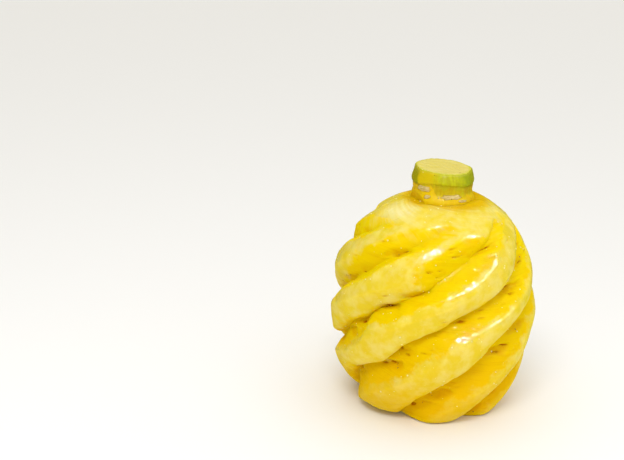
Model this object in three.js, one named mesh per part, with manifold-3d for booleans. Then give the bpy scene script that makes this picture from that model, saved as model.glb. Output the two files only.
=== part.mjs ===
// A peeled pineapple with its stalk left on as a handle. The eyes were cut out in V-shaped grooves
// that wind round the fruit, which leaves rounded ridges between them. It stands on its flat cut foot.
// Millimetres and degrees, +Z up. The origin is the centre of the foot, and the front faces -Y.

import * as THREE from 'three';
import { mergeVertices } from 'three/addons/utils/BufferGeometryUtils.js';
import Module from 'manifold-3d';

const wasm = await Module();
wasm.setup();

// The body before the grooves: a round form, widest at the belly
const bellyRadius = 49.2;
const bellyHeight = 46.9;
const lowerHalfHeight = 73.1; // of the curve below the belly, which the foot cuts off
const upperHalfHeight = 55.7;
const lowerSquareness = 1.8; // 2 would be an ellipse, and less is leaner
const upperSquareness = 2.1;
const footRoundingWidth = 2.5;
const footRoundingHeight = 1.5;
const neckShift = 3.9; // the upper half bends towards +X by this much at twice the bend's height
const neckBendHeight = 50;

// A second stroke of the knife trimmed the foot on one side
const trimDirection = -154;
const trimStart = 14.8; // from the foot's centre
const trimAngle = 11.8;

// The top: a seat for the stalk, with a shallow moat round it
const seatRadius = 14.2;
const moatWidth = 5;
const moatDepth = 1.5;

// A third stroke took a slice off the left side
const sliceDirection = 178;
const sliceReach = 45.8; // from the body's middle

// The grooves. Widths are shares of the way from one groove's floor to the next.
const grooveCount = 7;
const grooveDepth = 9.5;
const straightWidth = 0.42; // of the wall under a floor
const undersideRoundness = 2.3; // of the ridge that hangs over the floor
const undersideNarrowness = 1.5; // 1 would make that side of a ridge as wide as the other
const grooveRounding = 1.6;
const floorSoftness = 0.04;
const crestWidth = 0.12;
const floorLowerHalfHeight = 60; // the grooves' floors lie on an ellipse of their own
const floorUpperHalfHeight = 63.7; // which meets the body's outline near the top, so the grooves end there
const fullWidthDepth = 8; // shallower grooves are narrower
const narrowestGroove = 0.1;
const grooveFadeDepth = 2.5; // cuts shallower than this fade out, for pointed ends
const squareCutStart = 4; // the cuts run level up to here, and square to the surface from the next height
const squareCutEnd = 18;

// High up on one side the cuts lean: their upper wall turns straight, then the lower one steep.
// A spread says where such a change starts and is full: the cosine of the angle from its side's middle.
const leaningSide = -150;
const leaningSpread = [-0.35, 0.3];
const leaningStart = 42;
const leaningEnd = 66;
const leaningFullWidthDepth = 3.5;
const steepSpread = [0, 1];
const steepStart = 50;
const steepEnd = 75;
const steepWidth = 0.13;

// The floors waver as they climb, by this share either way
const waver = 0.1;
const waverLength = 44;
const waverMiddle = 35;
const waverReach = 11; // how far below the middle they start to waver

// Low on the left the floors lie higher than even by this share, a little further up lower
const sideLag = 0.15;
const sideLagDirection = -160;
const sideLagSpread = [0.75, 0.95];
const sideLeadEnd = 22;
const sideLagStart = 38;
const sideLagFade = 50;
const sideLagEnd = 62;

// Where the grooves lie round the fruit
const firstGrooveAngle = -134.2; // where the first floor crosses the twist's mid height
const unevenSpacing = 5.3; // the cuts crowd together at the back by this angle
const unevenSpacingTurn = 3.2;
const unevenPairs = 2.6; // and by this one at two opposite sides
const unevenPairsTurn = 118.6;
const backShift = 9; // those at the back lie further round by this angle
const backShiftTurn = 165;
const backShiftSpread = [0.3, 1];

// How far the grooves turn per millimetre of height: most near the top, least at the foot
const midTwist = 2.123;
const midTwistHeight = 50;
const topTwistGain = 0.0269;
const topTwistHeight = 70;
const footTwistLoss = 0.0086;
const footTwistHeight = 28;

// The stalk: a short stub with a knee, cut at a slant
const stalkSunk = 3;
const stalkRadius = 14.6;
const stalkWaistRadius = 13.8;
const stalkWaistHeight = 4.2;
const stalkKneeRadius = 14.8;
const stalkKneeHeight = 7.2;
const stalkTopRadius = 13;
const stalkHeight = 12.8;
const stalkSides = 48;
const slantRight = 4.5; // the cut drops towards +X
const slantFront = 2.6; // and towards -Y

// How finely the body is faceted
const columnsPerGroove = 12;
const lowerRows = 20;
const upperRows = 26;

const rad = THREE.MathUtils.degToRad;
const columnCount = grooveCount * columnsPerGroove;

// The round body's outline: its radius, and how far it widens for each millimetre up
function bodyCurve(height) {
  const isUpper = height > bellyHeight;
  const halfHeight = isUpper ? upperHalfHeight : lowerHalfHeight;
  const squareness = isUpper ? upperSquareness : lowerSquareness;
  const share = Math.abs(height - bellyHeight) / halfHeight;
  const narrowed = (1 - share ** squareness) ** (1 / squareness);
  const steepness = share ** (squareness - 1) * narrowed ** (1 - squareness) * bellyRadius / halfHeight;
  return { radius: bellyRadius * narrowed, slope: isUpper ? -steepness : steepness };
}

// The radius before the grooves are cut, with the foot's edge rounded
function outlineRadius(height) {
  const towardsFoot = Math.max(0, 1 - height / footRoundingHeight);
  return bodyCurve(height).radius - footRoundingWidth * (1 - Math.sqrt(1 - towardsFoot ** 2));
}

function seatHeight() {
  const share = (1 - (seatRadius / bellyRadius) ** upperSquareness) ** (1 / upperSquareness);
  return bellyHeight + upperHalfHeight * share;
}

// The heights of the body's rings, which crowd together towards the seat, where the outline turns flat
function ringHeights() {
  const heights = [0];
  const footTurn = Math.asin((bellyHeight - footRoundingHeight) / lowerHalfHeight);
  for (let i = lowerRows; i > 0; i--) {
    heights.push(bellyHeight - lowerHalfHeight * Math.sin(footTurn * i / lowerRows));
  }
  const seatTurn = Math.asin((seatHeight() - bellyHeight) / upperHalfHeight);
  for (let i = 0; i <= upperRows; i++) {
    heights.push(bellyHeight + upperHalfHeight * Math.sin(seatTurn * i / upperRows));
  }
  return heights;
}

function twist(height) {
  const aboveTop = Math.max(0, height - topTwistHeight);
  const belowFoot = Math.max(0, footTwistHeight - height);
  const evenTwist = midTwist * (height - midTwistHeight);
  return evenTwist + topTwistGain * aboveTop ** 2 + footTwistLoss * belowFoot ** 2;
}

// How deep a groove's floor lies under the body's outline
function floorDepth(height) {
  const halfHeight = height < bellyHeight ? floorLowerHalfHeight : floorUpperHalfHeight;
  const share = (height - bellyHeight) / halfHeight;
  const floorRadius = (bellyRadius - grooveDepth) * Math.sqrt(1 - share ** 2);
  return Math.max(0, outlineRadius(height) - floorRadius);
}

// Runs smoothly from 0 to 1 while the value runs from low to high, and stays flat beyond
function smoothStep(value, low, high) {
  const share = Math.min(1, Math.max(0, (value - low) / (high - low)));
  return share * share * (3 - 2 * share);
}

function mix(from, to, share) {
  return from + (to - from) * share;
}

// What the grooves take off, square to the surface. The distance from the floor runs from -0.5, on the
// ridge above, to 0.5, on the ridge below.
function grooveCut(height, angle, fromFloor) {
  const depth = floorDepth(height);
  const side = Math.cos(rad(angle - leaningSide));
  const leaning = smoothStep(height, leaningStart, leaningEnd) * smoothStep(side, ...leaningSpread);
  const steepness = smoothStep(height, steepStart, steepEnd) * smoothStep(side, ...steepSpread);
  const fullWidthShare = depth / mix(fullWidthDepth, leaningFullWidthDepth, leaning);
  const narrowing = Math.min(1, mix(narrowestGroove, 1, fullWidthShare));
  const distance = Math.hypot(fromFloor, floorSoftness) / narrowing;
  const straightWall = 1 - distance / straightWidth;
  const steepWall = 1 - distance / steepWidth;
  const under = Math.max(0, 1 - 2 * Math.abs(fromFloor) / narrowing);
  const roundWall = 1 - (1 - under ** undersideRoundness) ** (1 / undersideRoundness);
  const isAbove = fromFloor < 0;
  const wall = depth * (isAbove ? mix(roundWall, straightWall, leaning)
    : mix(straightWall, steepWall, steepness));
  const rounding = grooveRounding * narrowing * (isAbove ? leaning : 1);
  const toCrest = smoothStep(0.5 - Math.abs(fromFloor), 0, crestWidth);
  const atEnds = smoothStep(depth, 0, grooveFadeDepth) * toCrest;
  return atEnds * (wall + Math.hypot(wall, rounding)) / 2;
}

function neckOffset(height) {
  return neckShift * (Math.max(0, height - neckBendHeight) / neckBendHeight) ** 2;
}

// The angle of a point on the uncut body, counted in grooves round from the first floor
function turnedAngle(height, turns) {
  const evenAngle = turns * 360 / grooveCount;
  const shift = unevenSpacing * Math.sin(rad(evenAngle - unevenSpacingTurn))
    + unevenPairs * Math.sin(rad(2 * evenAngle - unevenPairsTurn))
    + backShift * smoothStep(Math.cos(rad(evenAngle - backShiftTurn)), ...backShiftSpread);
  const angle = firstGrooveAngle + evenAngle + shift + twist(height);
  const wavering = THREE.MathUtils.clamp(height - waverMiddle, -waverReach, waverLength);
  const onSide = smoothStep(Math.cos(rad(angle - sideLagDirection)), ...sideLagSpread);
  const lag = mix(-sideLag, sideLag, smoothStep(height, sideLeadEnd, sideLagStart))
    * (1 - smoothStep(height, sideLagFade, sideLagEnd)) * onSide;
  return angle + (lag - waver * Math.sin(2 * Math.PI * wavering / waverLength)) * 360 / grooveCount;
}

// The point of a ring at this column; a reach under 1 pulls it in towards the ring's middle
function bodyPoint(height, column, reach = 1) {
  const evenTurns = column / columnsPerGroove;
  const nearest = Math.floor(evenTurns + 0.5);
  const evenShare = evenTurns - nearest;
  const fromFloor = evenShare < 0 ? -0.5 * (-2 * evenShare) ** undersideNarrowness : evenShare;
  const angle = turnedAngle(height, nearest + fromFloor);
  const { slope } = bodyCurve(height);
  const levelShare = 1 / Math.hypot(1, slope);
  const levelCut = grooveCut(height, angle, fromFloor) * levelShare ** 2;
  const radius = reach * (outlineRadius(height) - levelCut);
  const x = neckOffset(height) + radius * Math.cos(rad(angle));
  const y = radius * Math.sin(rad(angle));
  const inMoat = smoothStep(seatRadius + moatWidth - radius, 0, moatWidth);
  const moat = height > bellyHeight ? moatDepth * inMoat : 0;
  const level = height + levelCut * slope * smoothStep(height, squareCutStart, squareCutEnd) - moat;
  const pastTrim = x * Math.cos(rad(trimDirection)) + y * Math.sin(rad(trimDirection)) - trimStart;
  return [x, y, Math.max(level, pastTrim * Math.tan(rad(trimAngle)))];
}

function bodyGeometry() {
  const heights = ringHeights();
  const ring = (height, reach) => (
    Array.from({ length: columnCount }, (_, column) => bodyPoint(height, column, reach)).flat()
  );
  const positions = [...ring(0, 0.5), ...heights.flatMap((height) => ring(height, 1))];
  const lastRing = heights.length;
  const footCentre = (lastRing + 1) * columnCount;
  const seatCentre = footCentre + 1;
  positions.push(0, 0, 0);
  positions.push(neckOffset(seatHeight()), 0, seatHeight() - moatDepth);
  const index = [];
  for (let column = 0; column < columnCount; column++) {
    const next = (column + 1) % columnCount;
    for (let ringNumber = 0; ringNumber < lastRing; ringNumber++) {
      const below = ringNumber * columnCount;
      const above = below + columnCount;
      index.push(below + column, below + next, above + column);
      index.push(below + next, above + next, above + column);
    }
    index.push(footCentre, next, column);
    index.push(seatCentre, lastRing * columnCount + column, lastRing * columnCount + next);
  }
  const geometry = new THREE.BufferGeometry();
  geometry.setAttribute('position', new THREE.Float32BufferAttribute(positions, 3));
  geometry.setIndex(index);
  return geometry;
}

// The stub stands on the seat, and its upper part is sheared to make the slanted cut
function stalkGeometry() {
  const outline = [
    new THREE.Vector2(0, -stalkSunk),
    new THREE.Vector2(seatRadius - 1, -stalkSunk),
    new THREE.Vector2(stalkRadius, 0),
    new THREE.Vector2(stalkWaistRadius, stalkWaistHeight),
    new THREE.Vector2(stalkKneeRadius, stalkKneeHeight),
    new THREE.Vector2(stalkTopRadius, stalkHeight),
    new THREE.Vector2(0, stalkHeight),
  ];
  const geometry = new THREE.LatheGeometry(outline, stalkSides);
  geometry.rotateX(Math.PI / 2);
  const position = geometry.attributes.position;
  for (let i = 0; i < position.count; i++) {
    const height = position.getZ(i);
    const sheared = Math.max(0, (height - stalkKneeHeight) / (stalkHeight - stalkKneeHeight));
    const drop = Math.tan(rad(slantRight)) * position.getX(i) - Math.tan(rad(slantFront)) * position.getY(i);
    position.setZ(i, height - sheared * drop);
  }
  geometry.translate(neckOffset(seatHeight()), 0, seatHeight());
  return geometry;
}

// What the slice takes off: a block that stands beyond its flat face
function sliceGeometry() {
  const thickness = 10;
  const size = 3 * bellyRadius;
  const geometry = new THREE.BoxGeometry(thickness, size, size);
  geometry.translate(sliceReach + thickness / 2, 0, bellyHeight);
  geometry.rotateZ(rad(sliceDirection));
  return geometry;
}

function toSolid(geometry) {
  geometry.deleteAttribute('normal');
  geometry.deleteAttribute('uv');
  const merged = mergeVertices(geometry, 1e-4);
  return new wasm.Manifold(new wasm.Mesh({
    numProp: 3,
    vertProperties: Float32Array.from(merged.attributes.position.array),
    triVerts: Uint32Array.from(merged.index.array),
  }));
}

function toGeometry(solid) {
  const mesh = solid.getMesh();
  const geometry = new THREE.BufferGeometry();
  geometry.setAttribute('position', new THREE.BufferAttribute(mesh.vertProperties, 3));
  geometry.setIndex(new THREE.BufferAttribute(mesh.triVerts, 1));
  geometry.computeVertexNormals();
  return geometry;
}

function peeledPineapple() {
  const body = toSolid(bodyGeometry()).subtract(toSolid(sliceGeometry()));
  const fruit = body.add(toSolid(stalkGeometry()));
  const flesh = new THREE.MeshStandardMaterial({ color: 0xecc832, roughness: 0.3, metalness: 0 });
  const mesh = new THREE.Mesh(toGeometry(fruit), flesh);
  mesh.name = 'peeled_pineapple';
  return mesh;
}

const part = new THREE.Group();
part.add(peeledPineapple());

export default part;
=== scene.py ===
"""A peeled pineapple with spiral grooves and its stalk left on, as a studio still."""

import math
from types import SimpleNamespace

import bpy
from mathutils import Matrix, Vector, noise


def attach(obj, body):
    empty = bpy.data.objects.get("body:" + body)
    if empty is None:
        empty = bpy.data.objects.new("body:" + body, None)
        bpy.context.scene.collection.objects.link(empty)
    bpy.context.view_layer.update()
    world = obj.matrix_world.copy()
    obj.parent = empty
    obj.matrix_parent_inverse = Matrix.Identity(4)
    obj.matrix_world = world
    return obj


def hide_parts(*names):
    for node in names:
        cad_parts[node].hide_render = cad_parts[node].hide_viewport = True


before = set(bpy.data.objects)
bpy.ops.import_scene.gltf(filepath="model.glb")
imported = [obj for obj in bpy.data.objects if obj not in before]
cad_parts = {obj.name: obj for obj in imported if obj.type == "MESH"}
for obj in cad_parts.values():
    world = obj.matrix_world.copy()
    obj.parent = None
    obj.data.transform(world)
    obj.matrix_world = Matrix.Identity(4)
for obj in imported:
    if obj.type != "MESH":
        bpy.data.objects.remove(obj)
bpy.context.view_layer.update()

NODE = "peeled_pineapple"
MM = 0.001
rad = math.radians

# ---------------------------------------------------------------- sizes, in millimetres and degrees

# The body before the grooves, as the frame has it
BELLY_RADIUS = 49.2
BELLY_HEIGHT = 46.9
LOWER_HALF_HEIGHT = 73.1
UPPER_HALF_HEIGHT = 55.7
LOWER_SQUARENESS = 1.8
UPPER_SQUARENESS = 2.1
FOOT_ROUNDING_WIDTH = 2.5
FOOT_ROUNDING_HEIGHT = 1.5
NECK_SHIFT = 3.9
NECK_BEND_HEIGHT = 50
TRIM_DIRECTION = -154
TRIM_START = 14.8
TRIM_ANGLE = 11.8
SEAT_RADIUS = 14.2
SLICE_DIRECTION = 178
SLICE_REACH = 45.8
MOAT_WIDTH = 5
MOAT_DEPTH = 1.5

# The grooves
GROOVE_COUNT = 7
GROOVE_DEPTH = 9.5
GROOVE_FLOOR_ROUNDING = 1.6
FLOOR_LOWER_HALF_HEIGHT = 60
FLOOR_UPPER_HALF_HEIGHT = 63.7
FIRST_GROOVE_ANGLE = -134.2
UNEVEN_SPACING = 5.3
UNEVEN_SPACING_TURN = 3.2
UNEVEN_PAIRS = 2.6
UNEVEN_PAIRS_TURN = 118.6
BACK_SHIFT = 9
BACK_SHIFT_TURN = 165
BACK_SHIFT_SPREAD = (0.3, 1)
MID_TWIST = 2.123
MID_TWIST_HEIGHT = 50
TOP_TWIST_GAIN = 0.0269
TOP_TWIST_HEIGHT = 70
FOOT_TWIST_LOSS = 0.0086
FOOT_TWIST_HEIGHT = 28

# In all that follows a spread is a pair of cosines of the angle from some direction: nothing happens
# beyond the first, and all of it from the second on. Heights and depths in pairs work the same way, and
# LAG_END_HEIGHTS, PIT_REACH and RING_WIDTHS the other way round.

# Each ridge is round below, where it hangs over the next groove, and its upper side is cut straight.
# High on one side the cuts lean the other way. Widths are shares of the way from floor to floor.
UNDERSIDE_ROUNDNESS = 2.3
STRAIGHT_WIDTH = 0.42
LEANING_WIDTH = 0.17
LEANING_SIDE = -150
LEANING_SPREAD = (-0.35, 0.3)
LEANING_HEIGHTS = (42, 66)
STEEP_SPREAD = (0, 1)
STEEP_HEIGHTS = (50, 75)
FULL_WIDTH_DEPTH = 8
LEANING_FULL_WIDTH_DEPTH = 3.5
NARROWEST_GROOVE = 0.1
FLOOR_SOFTNESS = 0.04
STEEP_SOFTNESS = 0.04
CREST_WIDTH = 0.12
CUT_START_DEPTHS = (0, 2.5)
SQUARE_CUT_HEIGHTS = (4, 18)
SLICE_SOFTNESS = 1.5
LIP = 0.4
LIP_DEPTHS = (5, 9)

# The floors waver as they climb, and lag behind at the left. Both are shares of the way between floors.
WAVER = 0.1
WAVER_LENGTH = 44
WAVER_MIDDLE = 35
WAVER_REACH = 11
LAG = 0.15
LAG_SIDE = -160
LAG_SPREAD = (0.75, 0.95)
LAG_TURN_HEIGHTS = (22, 38)
LAG_END_HEIGHTS = (50, 62)

# What the knife and the eyes left in the grooves. Offsets are from a floor up the ridge above it, and
# where the cuts lean they go down by the second number. The pattern step keeps each groove's pits from
# repeating those of the next.
POCKET_STEP = 9.0
POCKET_STAGGER = 0.37
POCKET_DEPTH = 1.7
POCKET_HALF_LENGTH = 5.0
POCKET_HALF_WIDTH = 2.8
POCKET_OFFSET = (1.6, 4)
POCKET_SCATTER = 3
POCKET_SCATTER_ALONG = 0.3
POCKET_RAGGEDNESS = 7
POCKET_START_DEPTHS = (3, 6)
PIT_SPACING = 3.4
PIT_DEPTH = 1.3
PIT_OFFSET = (3.5, 7)
PIT_REACH = (3, 7.5)
PIT_START_DEPTHS = (2, 4)
PIT_PATTERN_STEP = 31
EDGE_WANDER = 2.2
EDGE_WANDER_DEPTHS = (0, 5)
RELIEF = 1.0
WIDE_RELIEF = 1.6
FINE_RELIEF = 0.34
WIDE_LUMPS_PER_METRE = 62
FINE_LUMPS_PER_METRE = 260
RELIEF_START_HEIGHTS = (0.3, 4)
WELD_GAP = 0.02

# The pale band along each ridge, in shares of the way from floor to floor
BAND_START = 0.36
STEEP_BAND_START = 0.18
BAND_END = 0.95
LEANING_BAND_LOSS = 0.45
LEANING_BAND_HEIGHTS = (56, 84)
BAND_EDGE_STEEPNESS = 5

# The shoulder's streaks, the cream patch on it and the golden ring round the stalk
SHOULDER_SWIRL = 7
SHOULDER_HEIGHTS = (84, 94)
CREAM_SIDE = -138
CREAM_SPREAD = (0.75, 0.95)
RING_WIDTHS = (2, 7.5)
RING_WIDER_RIGHT = 3
RING_RAGGEDNESS = 5

# What is strewn over the flesh: how many to a square metre where there are most, the least and greatest
# half width, length and height as shares of it, and the attribute that says where there are none and most
JUICE_BEADS = {"density": 20000.0, "sizes": (0.12, 0.55), "length": 1.0, "flatness": 0.5, "seed": 11,
               "where": ("height", 6, 20)}
FIBRE_SHREDS = {"density": 16000.0, "sizes": (0.25, 0.8), "length": 3.0, "flatness": 0.5, "seed": 21,
                "where": ("moat", 0.3, 0.9)}
EYE_SPECKS = {"density": 60000.0, "sizes": (0.1, 0.3), "length": 1.4, "flatness": 0.4, "seed": 31,
              "where": ("pocket", 0.1, 0.6)}
GRAIN_SEGMENTS = 8
GRAIN_RINGS = 5
GRAIN_SIZE_POWER = 3

# The stalk, with heights above its seat. Facets are how many flats the knife left and where the first
# one starts.
STALK_SUNK = 3.0
STALK_TOP = 12.8
STALK_KNEE = 6.3
STALK_SEGMENTS = 168
STALK_ROWS = 58
CUT_FACE_RINGS = 26
SLANT_RIGHT = 4.5
SLANT_FRONT = 2.6
BASE_RADIUS = 15.1
BASE_FLARE = 1.3
FLARE_START_HEIGHT = -1.5
WAIST_HEIGHT = 3.2
WAIST_GAIN = 0.25
WAIST_BELOW_KNEE = 1.2
KNEE_TILT = 0.8
KNEE_TILT_TURN = -122
KNEE_WAVES = 0.5
KNEE_WAVES_TURN = -97
KNEE_BLEND = (-0.55, 0.35)
KNEE_RADIUS = 14.85
RIND_TAPER = 1.575
RIM_RADIUS = 12.7
RIM_ROUNDING = 0.55
RIM_ROUNDING_START = 0.955
RIND_FACETS = (7, 14)
WAIST_FACETS = (9, -8)
FACETS_BELOW_KNEE = 0.3
FACET_FLATNESS = 0.45
STALK_UNEVENNESS = 0.45
STALK_ROUGHNESS = 0.1
FACE_RIB_HEIGHT = 0.05
FACE_UNEVENNESS = 0.16
SCAR_THICKNESS = 0.42
SCAR_RAGGEDNESS = 0.45
LEFT_CUT_DIRECTION = -152
LEFT_CUT_REACH = 13.35
LEFT_CUT_LEAN = 0.22
LEFT_CUT_PAST_KNEE = 1.5

# Where papery scars of old leaves are left: direction, height, half width and half height
SCARS = ((-128, 4.9, 17, 1.5), (-73, 1.7, 22, 1.3), (-118, 1.3, 9, 0.9), (-52, -0.4, 8, 0.8),
         (38, 2.4, 26, 1.2), (104, 3.4, 20, 1.5), (163, 1.8, 18, 1.1))

# How finely the flesh is meshed
COLUMNS = 364
COLUMN_CROWDING = 1.5
ROWS = 268
FOOT_SHARE = 0.1
SEAT_SHARE = 0.97

SEAT_SINE = (1 - (SEAT_RADIUS / BELLY_RADIUS) ** UPPER_SQUARENESS) ** (1 / UPPER_SQUARENESS)
SEAT_HEIGHT = BELLY_HEIGHT + UPPER_HALF_HEIGHT * SEAT_SINE
SEAT_OFFSET = NECK_SHIFT * ((SEAT_HEIGHT - NECK_BEND_HEIGHT) / NECK_BEND_HEIGHT) ** 2


# ---------------------------------------------------------------- formulas written as nodes

class Field:
    """A number that varies over a surface: arithmetic on it adds Math nodes to its tree."""

    def __init__(self, tree, socket):
        self.tree = tree
        self.socket = socket

    def math(self, operation, *others):
        node = self.tree.nodes.new("ShaderNodeMath")
        node.operation = operation
        for slot, value in zip(node.inputs, (self, *others)):
            plug(self.tree, value, slot)
        return Field(self.tree, node.outputs[0])

    def __add__(self, other):
        return self.math("ADD", other)

    def __radd__(self, other):
        return self.math("ADD", other)

    def __sub__(self, other):
        return self.math("SUBTRACT", other)

    def __rsub__(self, other):
        return (self * -1) + other

    def __mul__(self, other):
        return self.math("MULTIPLY", other)

    def __rmul__(self, other):
        return self.math("MULTIPLY", other)

    def __truediv__(self, other):
        return self.math("DIVIDE", other)

    def __rtruediv__(self, other):
        return self.math("POWER", -1) * other

    def __pow__(self, other):
        return self.math("POWER", other)

    def __abs__(self):
        return self.math("ABSOLUTE")

    def least(self, other):
        return self.math("MINIMUM", other)

    def most(self, other):
        return self.math("MAXIMUM", other)

    def ramp(self, low, high, bottom=0.0, top=1.0, smooth=True):
        """Runs from bottom to top while this field runs from low to high, and stays flat beyond."""
        node = self.tree.nodes.new("ShaderNodeMapRange")
        node.interpolation_type = "SMOOTHSTEP" if smooth else "LINEAR"
        for name, value in (("Value", self), ("From Min", low), ("From Max", high),
                            ("To Min", bottom), ("To Max", top)):
            plug(self.tree, value, node.inputs[name])
        return Field(self.tree, node.outputs["Result"])


def plug(tree, value, socket):
    """Feeds a socket from a field, another socket or a plain value."""
    if isinstance(value, Field):
        value = value.socket
    if isinstance(value, bpy.types.NodeSocket):
        tree.links.new(value, socket)
    else:
        socket.default_value = value


def add_node(tree, kind, **settings):
    """Adds a node: settings that name an input feed it, and the others are the node's own."""
    node = tree.nodes.new(kind)
    for name, value in settings.items():
        label = name.replace("_", " ")
        match = [s for s in node.inputs if s.name.lower() == label]
        if match and not hasattr(node, name):
            plug(tree, value, match[0])
        else:
            setattr(node, name, value)
    return node


def combine(tree, x, y, z):
    node = tree.nodes.new("ShaderNodeCombineXYZ")
    for value, socket in zip((x, y, z), node.inputs):
        plug(tree, value, socket)
    return node.outputs[0]


def split(tree, vector):
    node = tree.nodes.new("ShaderNodeSeparateXYZ")
    tree.links.new(vector, node.inputs[0])
    return [Field(tree, s) for s in node.outputs]


def noise_field(tree, vector, scale, detail=2.0, roughness=0.5):
    """Soft random bumps between 0 and 1."""
    node = add_node(tree, "ShaderNodeTexNoise", vector=vector, scale=scale, detail=detail,
                    roughness=roughness)
    return Field(tree, node.outputs[0])


def white_noise(tree, *parts):
    """A random number between 0 and 1 for each different set of whole numbers."""
    node = add_node(tree, "ShaderNodeTexWhiteNoise", noise_dimensions="3D", vector=combine(tree, *parts))
    return Field(tree, node.outputs["Value"])


def cells(tree, vector, scale):
    """Distance to the nearest cell's middle, and a random number for each cell."""
    node = add_node(tree, "ShaderNodeTexVoronoi", vector=vector, scale=scale, randomness=1.0)
    return Field(tree, node.outputs["Distance"]), split(tree, node.outputs["Color"])[0]


def scaled(tree, vector, amount):
    node = add_node(tree, "ShaderNodeVectorMath", operation="SCALE", vector=vector, scale=amount)
    return node.outputs[0]


# ---------------------------------------------------------------- the flesh

def twist_of(height):
    """How far the grooves have wound round at a height, in degrees."""
    above = (height - TOP_TWIST_HEIGHT).most(0)
    below = (FOOT_TWIST_HEIGHT - height).most(0)
    return MID_TWIST * (height - MID_TWIST_HEIGHT) + TOP_TWIST_GAIN * above * above \
        + FOOT_TWIST_LOSS * below * below


def twist_rate_of(height):
    """How fast they wind there, in degrees to a millimetre."""
    above = (height - TOP_TWIST_HEIGHT).most(0)
    below = (FOOT_TWIST_HEIGHT - height).most(0)
    return MID_TWIST + 2 * TOP_TWIST_GAIN * above - 2 * FOOT_TWIST_LOSS * below


def geometry_tree(name, inputs):
    """A Geometry Nodes tree with named inputs; gives the tree and its inputs as fields."""
    tree = bpy.data.node_groups.new(name, "GeometryNodeTree")
    tree.interface.new_socket("Geometry", in_out="OUTPUT", socket_type="NodeSocketGeometry")
    kinds = {int: "NodeSocketInt", float: "NodeSocketFloat", bpy.types.Material: "NodeSocketMaterial",
             bpy.types.Object: "NodeSocketObject"}
    for label, value in inputs.items():
        kind = next(k for k in kinds if isinstance(value, k))
        tree.interface.new_socket(label, in_out="INPUT", socket_type=kinds[kind])
    group = tree.nodes.new("NodeGroupInput")
    return tree, {label: Field(tree, group.outputs[label]) for label in inputs}


def store(tree, geometry, **values):
    """Keeps fields as named attributes of the mesh's points."""
    for name, value in values.items():
        node = add_node(tree, "GeometryNodeStoreNamedAttribute", data_type="FLOAT", domain="POINT",
                        geometry=geometry, value=value)
        node.inputs["Name"].default_value = name
        geometry = node.outputs["Geometry"]
    return geometry


def grid_of(tree, columns, rows):
    """A unit grid, with its shares across and up, each running from 0 to 1."""
    grid = add_node(tree, "GeometryNodeMeshGrid", size_x=1.0, size_y=1.0, vertices_x=columns + 1,
                    vertices_y=rows)
    across, up, _ = split(tree, tree.nodes.new("GeometryNodeInputPosition").outputs[0])
    return grid.outputs["Mesh"], across + 0.5, up + 0.5


def moved(tree, geometry, **settings):
    """Sets the points' position, or moves them by an offset."""
    return add_node(tree, "GeometryNodeSetPosition", geometry=geometry, **settings).outputs["Geometry"]


def raised(tree, geometry, amount):
    """Moves the points along their normals."""
    normal = tree.nodes.new("GeometryNodeInputNormal").outputs[0]
    return moved(tree, geometry, offset=scaled(tree, normal, amount))


def finish_tree(tree, geometry, material):
    real = add_node(tree, "GeometryNodeRealizeInstances", geometry=geometry)
    paint = add_node(tree, "GeometryNodeSetMaterial", geometry=real.outputs["Geometry"], material=material)
    output = tree.nodes.new("NodeGroupOutput")
    tree.links.new(paint.outputs["Geometry"], output.inputs["Geometry"])


def grown_mesh(name, tree, inputs):
    """Runs a tree on an empty object and keeps the result as a plain mesh."""
    seed = bpy.data.objects.new(name + "_seed", bpy.data.meshes.new(name + "_seed"))
    bpy.context.scene.collection.objects.link(seed)
    modifier = seed.modifiers.new("grow", "NODES")
    modifier.node_group = tree
    for item in tree.interface.items_tree:
        if item.in_out == "INPUT":
            modifier[item.identifier] = inputs[item.name]
    graph = bpy.context.evaluated_depsgraph_get()
    mesh = bpy.data.meshes.new_from_object(seed.evaluated_get(graph))
    seed.modifiers.remove(modifier)
    bpy.data.objects.remove(seed)
    mesh.name = name
    piece = bpy.data.objects.new(name, mesh)
    bpy.context.scene.collection.objects.link(piece)
    mesh.shade_smooth()
    return piece


def body_outline(height, is_upper):
    """The round body's radius at each height before the grooves are cut, and how fast it grows."""
    squareness = LOWER_SQUARENESS + is_upper * (UPPER_SQUARENESS - LOWER_SQUARENESS)
    half_height = LOWER_HALF_HEIGHT + is_upper * (UPPER_HALF_HEIGHT - LOWER_HALF_HEIGHT)
    share = abs(height - BELLY_HEIGHT) / half_height
    radius = BELLY_RADIUS * (1 - share ** squareness) ** (1 / squareness)
    slope = (1 - is_upper * 2) * BELLY_RADIUS / half_height * share ** (squareness - 1) \
        * (radius / BELLY_RADIUS) ** (1 - squareness)
    to_foot = (1 - height / FOOT_ROUNDING_HEIGHT).most(0)
    return radius - FOOT_ROUNDING_WIDTH * (1 - (1 - to_foot * to_foot) ** 0.5), slope


def body_height(up_share):
    """Heights of the rows: all at the foot, then up the side, then all at the seat."""
    foot_turn = -math.asin(BELLY_HEIGHT / LOWER_HALF_HEIGHT)
    turn = up_share.ramp(FOOT_SHARE, SEAT_SHARE, foot_turn, math.asin(SEAT_SINE), smooth=False)
    sine = turn.math("SINE")
    is_upper = turn.math("GREATER_THAN", 0)
    half_height = LOWER_HALF_HEIGHT + is_upper * (UPPER_HALF_HEIGHT - LOWER_HALF_HEIGHT)
    return (BELLY_HEIGHT + half_height * sine).most(0), is_upper


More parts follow.
